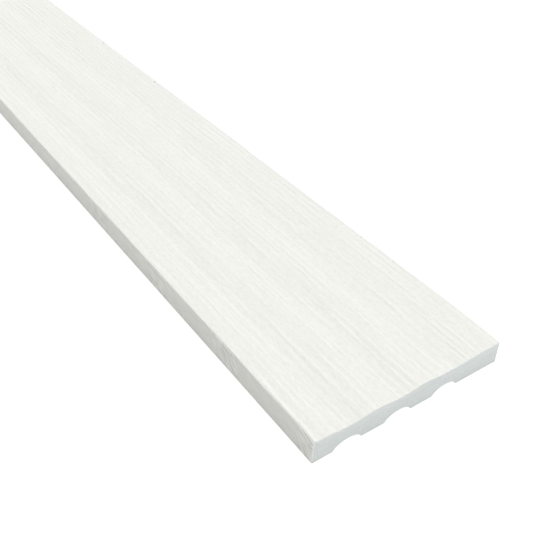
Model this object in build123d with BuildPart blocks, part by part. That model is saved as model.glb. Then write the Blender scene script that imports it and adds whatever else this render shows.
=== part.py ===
from build123d import *
import os

# A fibre cement trim board: one extruded piece of stock that lies on its grooved back.
# X runs along the board, Y across it and Z up through the face. Sizes are in millimetres.

# Overall size of the piece
board_length = 3050
board_width = 140
board_thickness = 16

# Relief grooves, round in section, that run the whole length of the back
groove_width = 20
groove_depth = 4.8
groove_land = 16      # flat back between one groove and the next
edge_land = 13.5      # flat back between the left side and the first groove
nailing_land = 30     # least flat back that is kept along the right side

# The face sinks a little above each groove
dip_depth = 1.3
crest_width = 3       # level face between one dip and the next
right_crest = 13      # level face along the right side, where the last dip has risen slowly

# Eased long edges of the face
arris_radius = 0.8

left_side = -board_width / 2
right_side = board_width / 2
groove_pitch = groove_width + groove_land
dip_width = groove_pitch - crest_width
grooved_width = board_width - edge_land - nailing_land
groove_count = int((grooved_width + groove_land) // groove_pitch)

with BuildPart() as trim_board:
    # The section is drawn on the far end, with its left side at -Y, and carried along X.
    with BuildSketch(Plane.YZ.offset(-board_length / 2)) as section:
        with BuildLine():
            back_reached = (left_side, 0)
            face_reached = (left_side, board_thickness)
            Line(back_reached, face_reached)
            for groove in range(groove_count):
                groove_start = left_side + edge_land + groove * groove_pitch
                groove_middle = groove_start + groove_width / 2
                groove_end = groove_start + groove_width

                # Back: a land, then the groove's arc
                Line(back_reached, (groove_start, 0))
                ThreePointArc((groove_start, 0), (groove_middle, groove_depth), (groove_end, 0))
                back_reached = (groove_end, 0)

                # Face: a level crest, then a dip with level tangents at its rims and its floor
                is_last = groove == groove_count - 1
                dip_start = groove_middle - dip_width / 2
                dip_end = right_side - right_crest if is_last else groove_middle + dip_width / 2
                dip_floor = board_thickness - dip_depth
                falling = (dip_start + groove_middle) / 2
                rising = (groove_middle + dip_end) / 2
                Line(face_reached, (dip_start, board_thickness))
                Bezier(
                    (dip_start, board_thickness),
                    (falling, board_thickness),
                    (falling, dip_floor),
                    (groove_middle, dip_floor),
                )
                Bezier(
                    (groove_middle, dip_floor),
                    (rising, dip_floor),
                    (rising, board_thickness),
                    (dip_end, board_thickness),
                )
                face_reached = (dip_end, board_thickness)
            Polyline(back_reached, (right_side, 0), (right_side, board_thickness), face_reached)
        make_face()
        face_corners = section.vertices().group_by(Axis.Y)[-1].sort_by(Axis.X)
        fillet([face_corners[0], face_corners[-1]], arris_radius)
    extrude(amount=board_length)

trim_board.part.label = "trim_board"

os.makedirs("parts", exist_ok=True)
export_step(trim_board.part, "parts/trim_board.step")
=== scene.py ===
import bpy
import numpy as np
from mathutils import Matrix, Vector


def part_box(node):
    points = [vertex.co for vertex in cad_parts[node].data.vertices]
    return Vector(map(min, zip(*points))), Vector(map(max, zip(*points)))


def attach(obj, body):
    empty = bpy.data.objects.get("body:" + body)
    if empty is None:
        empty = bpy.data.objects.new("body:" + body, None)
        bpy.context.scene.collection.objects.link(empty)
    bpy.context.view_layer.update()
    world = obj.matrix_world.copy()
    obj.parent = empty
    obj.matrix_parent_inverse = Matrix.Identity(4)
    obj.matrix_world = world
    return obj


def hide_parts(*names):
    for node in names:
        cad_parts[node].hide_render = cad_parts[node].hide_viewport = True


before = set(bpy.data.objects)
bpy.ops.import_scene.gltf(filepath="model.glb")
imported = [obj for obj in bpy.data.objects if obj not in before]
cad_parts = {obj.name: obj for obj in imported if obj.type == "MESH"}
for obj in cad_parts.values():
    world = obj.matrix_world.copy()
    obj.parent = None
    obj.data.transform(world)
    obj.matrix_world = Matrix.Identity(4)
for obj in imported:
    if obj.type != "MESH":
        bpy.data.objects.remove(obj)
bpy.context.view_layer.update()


# The board. It is one strip of fibre cement, pressed in a mould that leaves wood grain on its face and
# round grooves along its back, where the face above sinks a little. The long edges of the face are
# eased, and both ends are sawn square.
low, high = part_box("trim_board")
groove_width = 0.020
groove_depth = 0.0048
groove_pitch = 0.036
edge_land = 0.0135
groove_count = 3
dip_depth = 0.0013
dip_width = 0.033
right_crest = 0.013
arris_radius = 0.0008
hem_radius = 0.0003
groove_middles = low.y + edge_land + groove_width / 2 + groove_pitch * np.arange(groove_count)


def smooth(t):
    """Cubic step from 0 to 1, level at both ends."""
    t = np.clip(t, 0, 1)
    return t * t * (3 - 2 * t)


def face_height(y):
    """Height of the face: the thickness, less a smooth dip on the middle line of each groove. A dip falls
    and rises over half its width each, but the last one rises slowly to a level strip on the right."""
    rises = np.full(groove_count, dip_width / 2)
    rises[-1] = high.y - right_crest - groove_middles[-1]
    offset = y[:, None] - groove_middles[None, :]
    reach = np.where(offset > 0, rises[None, :], dip_width / 2)
    return high.z - dip_depth * (1 - smooth(np.abs(offset) / reach)).sum(axis=1)


def arc(centre_y, centre_z, radius, first, last, count):
    """Points of a circle from one angle to another, in degrees; 0 points along +Y and 90 along +Z."""
    angle = np.radians(np.linspace(first, last, count))
    return np.stack([centre_y + radius * np.cos(angle), centre_z + radius * np.sin(angle)], axis=1)


def section_outline(face_columns, side_rows, groove_columns, arris_columns, hem_columns):
    """The closed outline, anticlockwise as seen from +X: along the back and its grooves from left to
    right, up the right side, over its arris, back across the face, over the left arris and down."""
    groove_radius = (groove_width ** 2 / 4 + groove_depth ** 2) / (2 * groove_depth)
    half_turn = np.degrees(np.arcsin(groove_width / 2 / groove_radius))
    groove_centre = low.z + groove_depth - groove_radius
    spring = high.z - arris_radius
    hem = low.z + hem_radius
    side = np.linspace(hem, spring, side_rows + 2)[1:-1]
    across = np.linspace(high.y - arris_radius, low.y + arris_radius, face_columns + 2)[1:-1]
    back = [
        arc(middle, groove_centre, groove_radius, 90 + half_turn, 90 - half_turn, groove_columns)
        for middle in groove_middles
    ]
    return np.concatenate([
        arc(low.y + hem_radius, hem, hem_radius, 180, 270, hem_columns),
        *back,
        arc(high.y - hem_radius, hem, hem_radius, 270, 360, hem_columns),
        np.stack([np.full(side_rows, high.y), side], axis=1),
        arc(high.y - arris_radius, spring, arris_radius, 0, 90, arris_columns),
        np.stack([across, face_height(across)], axis=1),
        arc(low.y + arris_radius, spring, arris_radius, 90, 180, arris_columns),
        np.stack([np.full(side_rows, low.y), side[::-1]], axis=1),
    ])


def row_noise(along, row, rows, run, seed):
    """Noise of its own on each row: random values, a run apart and shifted by a random phase, joined by
    smooth steps."""
    draw = np.random.default_rng(seed)
    knots = int(np.ptp(along) / run) + 3
    value = draw.random((rows, knots))
    way = (along - along.min()) / run + draw.random(rows)[row]
    knot = way.astype(int)
    blend = smooth(way - knot)
    return value[row, knot] * (1 - blend) + value[row, knot + 1] * blend


def streaks(along, girth, run, pitch, seed):
    """Soft grain: rows of noise, a pitch apart round the girth and joined across by smooth steps."""
    place = (girth - girth.min()) / pitch
    row = place.astype(int)
    rows = row.max() + 2
    share = smooth(place - row)
    here = row_noise(along, row, rows, run, seed)
    there = row_noise(along, row + 1, rows, run, seed)
    return here * (1 - share) + there * share


def threads(along, girth, run, pitch, shift, width, seed):
    """Crisp grain: one thin line to a pitch, all moved on by a share of it. Each line sways sideways by
    noise of its own, comes and goes over a run, and is a smooth bump of the given width across."""
    quick_run = 0.011
    quick_reach = 0.16
    slow_run = 0.070
    slow_reach = 0.34
    fade_start = 0.30
    fade_width = 0.40
    place = girth / pitch + shift
    row = np.floor(place)
    within = place - row
    row = (row - row.min()).astype(int)
    rows = row.max() + 1
    quick_sway = row_noise(along, row, rows, quick_run, seed) - 0.5
    slow_sway = row_noise(along, row, rows, slow_run, seed + 1) - 0.5
    shown = smooth((row_noise(along, row, rows, run, seed + 2) - fade_start) / fade_width)
    middle = 0.5 + quick_reach * quick_sway + slow_reach * slow_sway
    return shown * (1 - smooth(np.abs(within - middle) * pitch / (width / 2)))


def grain_depth(along, girth, sideways):
    """How far the mould's grain lies below the mean face, in metres. Threads stand up as ridges, others
    are cut in between them, and finer threads and soft streaks fill the rest. All lines wander together,
    draw closer and part again, and on the sides they swirl and run over the arris."""
    soft_depth = 0.00010
    ridge_rise = 0.00030
    fine_rise = 0.00006
    cut_depth = 0.00016
    wander = 0.004 * streaks(along, girth, run=0.40, pitch=0.045, seed=3)
    crowd = 0.0055 * streaks(along, girth, run=0.18, pitch=0.013, seed=9)
    wobble = 0.0009 * streaks(along, girth, run=0.016, pitch=0.012, seed=5)
    swirl = 0.012 * sideways * streaks(along, girth, run=0.035, pitch=0.030, seed=7)
    line = girth + wander + crowd + wobble + swirl
    ridges = threads(along, line, run=0.028, pitch=0.0051, shift=0, width=0.0032, seed=31)
    cuts = threads(along, line, run=0.022, pitch=0.0051, shift=0.5, width=0.0030, seed=51)
    fine = threads(along, line, run=0.022, pitch=0.0037, shift=0, width=0.0018, seed=41)
    soft = streaks(along, line, run=0.060, pitch=0.0060, seed=23)
    return soft_depth * (soft - 0.5) - ridge_rise * ridges - fine_rise * fine + cut_depth * cuts


outline = section_outline(
    face_columns=260,
    side_rows=10,
    groove_columns=10,
    arris_columns=5,
    hem_columns=3,
)
ring = len(outline)
before = np.roll(outline, 1, axis=0)
after = np.roll(outline, -1, axis=0)
tangent = (after - before) / np.linalg.norm(after - before, axis=1, keepdims=True)
outward = np.stack([tangent[:, 1], -tangent[:, 0]], axis=1)
girth = np.cumsum(np.linalg.norm(outline - before, axis=1))

# Small chips are broken out of the right arris, each at a distance from the near end, with a length
# along it, a width across the face and a depth down the side. The steps are shares of the length.
chip_distances = np.array([0.0915, 0.1240, 0.4205, 0.5325])
chip_lengths = np.array([0.009, 0.005, 0.007, 0.007])
chip_widths = np.array([0.0018, 0.0020, 0.0039, 0.0033])
chip_depths = np.array([0.0009, 0.0009, 0.0015, 0.0013])
chip_steps = np.array([-0.5, -0.3, 0, 0.3, 0.5])

# The saw leaves a slight ease on the sides at both ends. Sections along the board lie closer together
# towards the ends and at the chips, and two of them share the plane of each end.
station_count = 280
crowding = 0.8
saw_ease = 0.0006
t = np.linspace(-1, 1, station_count)
spread = (1 - crowding) * t + crowding * np.sin(np.pi / 2 * t)
at_chips = high.x - chip_distances[:, None] - chip_lengths[:, None] * chip_steps[None, :]
stations = np.sort(np.concatenate([spread * (high.x - saw_ease), at_chips.ravel()]))
stations = np.concatenate([[low.x, low.x], stations, [high.x, high.x]])
eased = np.zeros(len(stations))
eased[[0, 1, -2, -1]] = saw_ease
ease_share = np.abs(outward[:, 0])

# The mould's grain lies on the face and the sides and dies out round the lower edges. Its swirls begin
# where the arris turns to the side.
side_start = 0.2
side_turn = 0.7
along, around = np.broadcast_arrays(stations[:, None], girth[None, :])
sideways = smooth((np.abs(outward[:, 0]) - side_start) / side_turn)
exposure = smooth(outward[:, 1] + 0.5)
grain = grain_depth(along, around, sideways[None, :])
inset = grain * exposure[None, :] + eased[:, None] * ease_share[None, :]
points = np.empty((len(stations), ring, 3))
points[..., 0] = along
points[..., 1] = outline[:, 0] - outward[:, 0] * inset
points[..., 2] = outline[:, 1] - outward[:, 1] * inset

# A chip is a flat facet across the corner, widest in its middle and closed at its tips. What stands above
# it is pulled straight down onto it.
closed_share = 0.001
from_chip = np.abs(high.x - stations[:, None] - chip_distances[None, :]) / (chip_lengths[None, :] / 2)
opened = np.maximum(1 - smooth(from_chip), closed_share)[:, None, :]
facet_width = chip_widths * opened
facet_depth = chip_depths * opened
from_side = (outline[:, 0] - high.y)[None, :, None] / facet_width
from_face = (outline[:, 1] - high.z)[None, :, None] / facet_depth
chipped = np.clip(1 + from_side + from_face, 0, 1)
pull = chipped / (1 / facet_width ** 2 + 1 / facet_depth ** 2)
points[..., 1] -= (pull / facet_width).sum(axis=2)
points[..., 2] -= (pull / facet_depth).sum(axis=2)

# Towards the near end the upper right edge is rubbed back, most of all at its corner. The upper left
# corner is rubbed down a little and leans back from the saw's plane.
rub_depth = 0.0018
rub_reach = 0.055
rub_width = 0.030
lengthways = np.clip((along - high.x) / rub_reach + 1, 0, 1) ** 2
crossways = smooth((points[..., 1] - high.y) / rub_width + 1)
points[..., 1] -= rub_depth * lengthways * crossways * points[..., 2] / high.z
lean_depth = 0.0009
drop_depth = 0.0009
drop_reach = 0.014
lean_width = 0.007
crossways = smooth((low.y - points[..., 1]) / lean_width + 1) * points[..., 2] / high.z
points[..., 0] -= lean_depth * crossways * np.clip((along - high.x) / rub_reach + 1, 0, 1)
points[..., 2] -= drop_depth * crossways * np.clip((along - high.x) / drop_reach + 1, 0, 1) ** 2

# The sawn ends are flat in the middle. The first and last sections lie within their outline and bound it.
flat_inset = 0.003
flat_reach = 0.010
flat_share = 0.75
middle_height = (low.z + high.z) / 2
beside_edge = np.clip((np.abs(outline[:, 0]) - high.y) / flat_reach + 1, 0, 1)
points[[0, -1], :, 0] = [[low.x], [high.x]]
points[[0, -1], :, 1] = outline[:, 0] - flat_inset * np.sign(outline[:, 0]) * beside_edge
points[[0, -1], :, 2] = middle_height + flat_share * (outline[:, 1] - middle_height)

index = np.arange(points.shape[0] * ring).reshape(points.shape[:2])
beside = np.roll(index, -1, axis=1)
quads = np.stack([index[:-1], beside[:-1], beside[1:], index[1:]], axis=-1).reshape(-1, 4)
caps = [index[0, ::-1].tolist(), index[-1].tolist()]
mesh = bpy.data.meshes.new("board_skin")
mesh.from_pydata(points.reshape(-1, 3), [], quads.tolist() + caps)

# The face and sides are smooth, the sawn ends flat, and the lips of the grooves sharp.
lip_turn = np.radians(30)
on_back = outward[:, 1] < -0.5
is_cap = np.zeros(len(mesh.polygons), bool)
is_cap[:ring] = True
is_cap[-ring - len(caps):] = True
mesh.polygons.foreach_set("use_smooth", ~is_cap)
step_in = outline - before
step_out = after - outline
cross = step_in[:, 0] * step_out[:, 1] - step_in[:, 1] * step_out[:, 0]
turn = np.abs(np.arctan2(cross, (step_in * step_out).sum(axis=1)))
ends = np.empty(len(mesh.edges) * 2, np.int32)
mesh.edges.foreach_get("vertices", ends)
ends = ends.reshape(-1, 2) % ring
lengthwise = ends[:, 0] == ends[:, 1]
groove_lip = (turn > lip_turn) & on_back
mesh.edges.foreach_set("use_edge_sharp", lengthwise & groove_lip[ends[:, 0]])


def mark(name, domain, values):
    """Stores a number for each point or face, which the finish reads."""
    layer = mesh.attributes.new(name, "FLOAT", domain)
    layer.data.foreach_set("value", np.ascontiguousarray(values, np.float32).ravel())


ridge_height = 0.00036
grain_range = 0.0007
every_station = np.ones((len(stations), 1))
mark("valley", "POINT", (grain + ridge_height) / grain_range)
mark("flank", "POINT", every_station * np.abs(outward[:, 0]))
mark("backing", "POINT", every_station * on_back)
# The eased upright edges at the ends, where a painted highlight goes.
mark("corner", "POINT", eased[:, None] / saw_ease * np.abs(outward[:, 0]))
mark("chip", "POINT", chipped.sum(axis=2))
mark("sawn", "FACE", is_cap)

board = bpy.data.objects.new("board_skin", mesh)
bpy.context.scene.collection.objects.link(board)
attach(board, "root")
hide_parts("trim_board")


# The board's finish. The face and sides have a matt white factory primer. The sawn ends and the back
# are bare fibre cement, a cooler pale grey with faint lines of the layers that it was pressed from.
class Wire:
    """An output socket in a material's nodes. Arithmetic with it adds Math nodes beside it."""

    def __init__(self, tree, socket=None):
        self.tree = tree
        self.socket = socket

    def node(self, kind, settings, sockets, output=0):
        """Adds a node of a type: its settings first, then the values or links of its sockets."""
        made = self.tree.nodes.new(kind)
        for name, value in settings.items():
            setattr(made, name, value)
        for place, value in sockets.items():
            if isinstance(value, Wire):
                self.tree.links.new(value.socket, made.inputs[place])
            else:
                made.inputs[place].default_value = value
        return Wire(self.tree, made.outputs[output] if made.outputs else None)

    def math(self, operation, left, right):
        return self.node("ShaderNodeMath", {"operation": operation}, {0: left, 1: right})

    def __add__(self, other):
        return self.math("ADD", self, other)

    def __radd__(self, other):
        return self.math("ADD", other, self)

    def __sub__(self, other):
        return self.math("SUBTRACT", self, other)

    def __rsub__(self, other):
        return self.math("SUBTRACT", other, self)

    def __mul__(self, other):
        return self.math("MULTIPLY", self, other)

    def __rmul__(self, other):
        return self.math("MULTIPLY", other, self)


def attribute(wire, name):
    return wire.node("ShaderNodeAttribute", {"attribute_name": name}, {}, "Fac")


def stretched_noise(wire, place, per_metre, detail):
    """Noise whose cells are 1 / per_metre long on each axis."""
    scaled = wire.node("ShaderNodeVectorMath", {"operation": "MULTIPLY"}, {0: place, 1: per_metre})
    sockets = {"Vector": scaled, "Scale": 1.0, "Detail": detail, "Roughness": 0.55}
    return wire.node("ShaderNodeTexNoise", {}, sockets, "Fac")


def ramp(wire, value, first, last):
    """0 where the value is at first, 1 at last, with a smooth step between."""
    sockets = {"Value": value, "From Min": first, "From Max": last}
    return wire.node("ShaderNodeMapRange", {"interpolation_type": "SMOOTHSTEP"}, sockets)


def tint(wire, share, first, last):
    """The first colour where share is 0 and the last where it is 1."""
    return wire.node("ShaderNodeMix", {"data_type": "RGBA"}, {0: share, 6: first, 7: last}, 2)


ridge_white = (0.939, 0.944, 0.899, 1)
# Painted shade: the colour of the grain's valleys.
valley_shade_white = (0.814, 0.819, 0.770, 1)
flank_white = (0.925, 0.930, 0.875, 1)
# Painted shade and mottle: the greyer colour of the sides.
flank_grey = (0.730, 0.736, 0.692, 1)
flank_dark = (0.600, 0.605, 0.575, 1)
# Painted shade: the colour of the lower edges.
hem_shade_grey = (0.640, 0.645, 0.625, 1)
chip_grey = (0.560, 0.560, 0.545, 1)
# The colour of the painted highlight on the upright edges, and of the beads.
bead_and_highlight_white = (0.975, 0.980, 0.945, 1)
cement_pale = (0.788, 0.828, 0.813, 1)
cement_dark = (0.650, 0.694, 0.683, 1)

finish = bpy.data.materials.new("primed_fibre_cement")
finish.use_nodes = True
finish.node_tree.nodes.clear()
wire = Wire(finish.node_tree)
place = wire.node("ShaderNodeTexCoord", {}, {}, "Object")
height = wire.node("ShaderNodeSeparateXYZ", {}, {"Vector": place}, "Z")
sideward = wire.node("ShaderNodeSeparateXYZ", {}, {"Vector": place}, "Y")
distance = high.x - wire.node("ShaderNodeSeparateXYZ", {}, {"Vector": place}, "X")
sawn = attribute(wire, "sawn")
backing = attribute(wire, "backing")
bare = wire.math("MAXIMUM", sawn, backing)

mottle = stretched_noise(wire, place, (110, 240, 240), 3)
fibres = stretched_noise(wire, place, (50, 640, 640), 3)
pores = stretched_noise(wire, place, (300, 760, 760), 2)
layers = stretched_noise(wire, place, (60, 45, 700), 3)
speckle = stretched_noise(wire, place, (700, 700, 700), 2)

# In patches along the sides the mould left slanting strokes, under a thin broken bead with a dark line on
# each side of it and a fainter bead below. At the near end the bead bends down.
stroke_slant = 0.85
stroke_pitch = 0.0017
stroke_length = 0.014
patch_pitch = 0.082
bead_height = 0.0146
bead_width = 0.0013
bead_bend = 0.0030
bend_reach = 0.012
second_share = 0.5
patch_wave = wire.math("COSINE", distance * (2 * np.pi / patch_pitch), 0)
patch = ramp(wire, patch_wave, 0.35, 0.70)
across_strokes = (height - stroke_slant * distance) * (1 / stroke_pitch)
along_strokes = (stroke_slant * height + distance) * (1 / stroke_length)
slant = wire.node("ShaderNodeCombineXYZ", {}, {"X": across_strokes, "Y": along_strokes})
strokes = patch * (ramp(wire, stretched_noise(wire, slant, (1, 1, 1), 1), 0.38, 0.62) - 0.5)
bead_line = bead_height - bead_bend * ramp(wire, distance, bend_reach, 0)
from_bead = wire.math("ABSOLUTE", height - bead_line, 0)
from_gutter = wire.math("ABSOLUTE", from_bead - bead_width, 0)
from_second = wire.math("ABSOLUTE", from_bead - 2 * bead_width, 0)
broken = patch * ramp(wire, stretched_noise(wire, place, (260, 90, 90), 1), 0.35, 0.55)
second_bead = second_share * ramp(wire, from_second, bead_width / 2, 0)
bead = broken * (ramp(wire, from_bead, bead_width, 0) + second_bead)
gutter = patch * ramp(wire, from_gutter, bead_width / 2, 0)

# Painted shade darkens the primer in the grain's valleys, so it is whitest on the ridges. On the sides
# painted shade makes it greyer, and it is also mottled.
valley_shade_share = 0.60
fibre_share = 0.15
pore_share = 0.32
# Painted shade: the sides are tinted greyer than the face, and their grain valleys darker.
side_shade = 0.31
mottle_wear = 0.19
side_valley_shade = 0.19
stroke_wear = 0.8
gutter_share = 0.6
bead_share = 0.9
valley = attribute(wire, "valley")
fine_marks = fibre_share * ramp(wire, fibres, 0.38, 0.66) + pore_share * ramp(wire, pores, 0.4, 0.66)
# Painted shade: the valleys of the grain are tinted darker than its ridges.
primer = tint(wire, valley_shade_share * valley + fine_marks, ridge_white, valley_shade_white)
# Painted shade on the sides and in their grain valleys, with mottle and mould strokes.
side_shade_and_marks = side_shade + mottle_wear * ramp(wire, mottle, 0.35, 0.68) + side_valley_shade * valley + stroke_wear * strokes
side_coat = tint(wire, side_shade_and_marks, flank_white, flank_grey)
side_coat = tint(wire, gutter_share * gutter, side_coat, flank_dark)
side_coat = tint(wire, bead_share * bead, side_coat, bead_and_highlight_white)
coat = tint(wire, ramp(wire, attribute(wire, "flank"), 0.5, 0.95), primer, side_coat)

# A painted highlight lies along the upright edges at the ends, brightest at the top, and the chips show grey
# cement.
highlight_low = 0.6
highlight_rise = 0.4
corner = ramp(wire, attribute(wire, "corner"), 0, 0.5)
# Painted highlight on the upright edges, brighter towards the top.
coat = tint(wire, corner * (highlight_low + height * (highlight_rise / high.z)), coat, bead_and_highlight_white)
coat = tint(wire, ramp(wire, attribute(wire, "chip"), 0, 0.4), coat, chip_grey)

# The bare cement shows faint layers. Painted shade makes it darker towards the back, and it is a little paler
# towards the right. Painted shade also darkens the lower edges of the sides and ends.
layer_share = 0.4
lower_shade_share = 0.70
right_share = 0.2
hem_shade_share = 0.8
hem_shade_height = 4 * hem_radius
# Painted shade: the bare cement darkens towards the bottom.
lower = 1 - height * (1 / high.z)
layers_and_shade = layer_share * ramp(wire, layers * 0.6 + speckle * 0.4, 0.38, 0.62) + lower_shade_share * lower
layers_and_shade = layers_and_shade - right_share * ramp(wire, sideward, 0, high.y)
cement = tint(wire, layers_and_shade, cement_pale, cement_dark)
colour = tint(wire, bare, coat, cement)
# Painted shade along the lower edges of the sides and ends.
hem = ramp(wire, height, low.z + hem_shade_height, low.z) * (1 - backing * (1 - sawn))
colour = tint(wire, hem_shade_share * hem, colour, hem_shade_grey)

# All of it is matt, and fibres and pores roughen the primer a little.
relief_depth = 0.0005
roughness = 0.62 + 0.18 * mottle + 0.1 * bare
relief = -1 * (0.5 * fibres + 0.5 * pores) * (1 - bare) + 0.25 * speckle
normal = wire.node("ShaderNodeBump", {}, {"Strength": 1.0, "Distance": relief_depth, "Height": relief})
surface = wire.node(
    "ShaderNodeBsdfPrincipled",
    {},
    {"Base Color": colour, "Roughness": roughness, "Normal": normal, "Specular IOR Level": 0.5},
)
wire.node("ShaderNodeOutputMaterial", {}, {"Surface": surface})
mesh.materials.append(finish)


# The studio floor is a plain pale sheet. The camera sees it as white, with part of the board's shadow
# left in it, and the board gets the light that a pale floor gives back.
def looked_at(wire):
    """1 for a ray from the camera, or one that a glossy or clear surface sends on, and 0 for other
    light."""
    kinds = ("Is Camera Ray", "Is Glossy Ray", "Is Transmission Ray")
    camera_ray, glossy_ray, clear_ray = [wire.node("ShaderNodeLightPath", {}, {}, kind) for kind in kinds]
    return wire.math("MINIMUM", camera_ray + glossy_ray + clear_ray, 1)


floor_reach = 12.0
floor_pale = (0.78, 0.78, 0.78, 1)
floor_glow = 1.17
shadow_share = 0.18
corners = floor_reach * np.array([[-1, -1, 0], [1, -1, 0], [1, 1, 0], [-1, 1, 0]])
floor_mesh = bpy.data.meshes.new("floor")
floor_mesh.from_pydata(corners.tolist(), [], [[0, 1, 2, 3]])
floor = bpy.data.objects.new("floor", floor_mesh)
bpy.context.scene.collection.objects.link(floor)
floor_finish = bpy.data.materials.new("floor_white")
floor_finish.use_nodes = True
floor_finish.node_tree.nodes.clear()
wire = Wire(floor_finish.node_tree)
seen = looked_at(wire)
sheet = wire.node("ShaderNodeBsdfDiffuse", {}, {"Color": floor_pale})
white = wire.node("ShaderNodeEmission", {}, {"Color": (1, 1, 1, 1), "Strength": floor_glow})
shown = wire.node("ShaderNodeMixShader", {}, {0: seen * (1 - shadow_share), 1: sheet, 2: white})
wire.node("ShaderNodeOutputMaterial", {}, {"Surface": shown})
floor_mesh.materials.append(floor_finish)


# The light is an even white tent with one wide soft lamp above, a little towards the near end and the
# right side. The tent looks white to the camera.
tent_level = 0.55
lamp_level = 0.5
lamp_spread = np.radians(80)
lamp_from = Vector((0.36, 0.24, 0.90))
world = bpy.data.worlds.new("tent")
bpy.context.scene.world = world
world.use_nodes = True
world.node_tree.nodes.clear()
wire = Wire(world.node_tree)
seen = looked_at(wire)
level = tent_level + seen * (1 - tent_level)
tent = wire.node("ShaderNodeBackground", {}, {"Color": (1, 1, 1, 1), "Strength": level})
wire.node("ShaderNodeOutputWorld", {}, {"Surface": tent})

lamp_data = bpy.data.lights.new("soft_lamp", "SUN")
lamp_data.energy = lamp_level * np.pi
lamp_data.angle = lamp_spread
lamp = bpy.data.objects.new("soft_lamp", lamp_data)
lamp.rotation_euler = lamp_from.to_track_quat("Z", "Y").to_euler()
bpy.context.scene.collection.objects.link(lamp)


# The camera stands over the near end, to the left of the board, and looks down along it.
picture_side = 540
focal_pixels = 726.6
corner_height = 0.0155
near_corner = Vector((high.x, low.y, corner_height))
camera_place = near_corner + Vector((0.1655, -0.1674, 0.2815))
heading, fall, roll = np.radians([38.27, 37.18, 4.76])
forward = Vector((-np.cos(heading) * np.cos(fall), np.sin(heading) * np.cos(fall), -np.sin(fall)))
level_right = Vector((np.sin(heading), np.cos(heading), 0))
level_up = level_right.cross(forward)
right = np.cos(roll) * level_right + np.sin(roll) * level_up
up = np.cos(roll) * level_up - np.sin(roll) * level_right
camera_data = bpy.data.cameras.new("camera")
camera_data.sensor_width = 36
camera_data.lens = focal_pixels / picture_side * camera_data.sensor_width
camera_data.clip_start = 0.01
camera_data.clip_end = 100
camera = bpy.data.objects.new("camera", camera_data)
camera.matrix_world = Matrix.Translation(camera_place) @ Matrix([right, up, -forward]).transposed().to_4x4()
bpy.context.scene.collection.objects.link(camera)
bpy.context.scene.camera = camera
bpy.context.scene.view_settings.view_transform = "Standard"
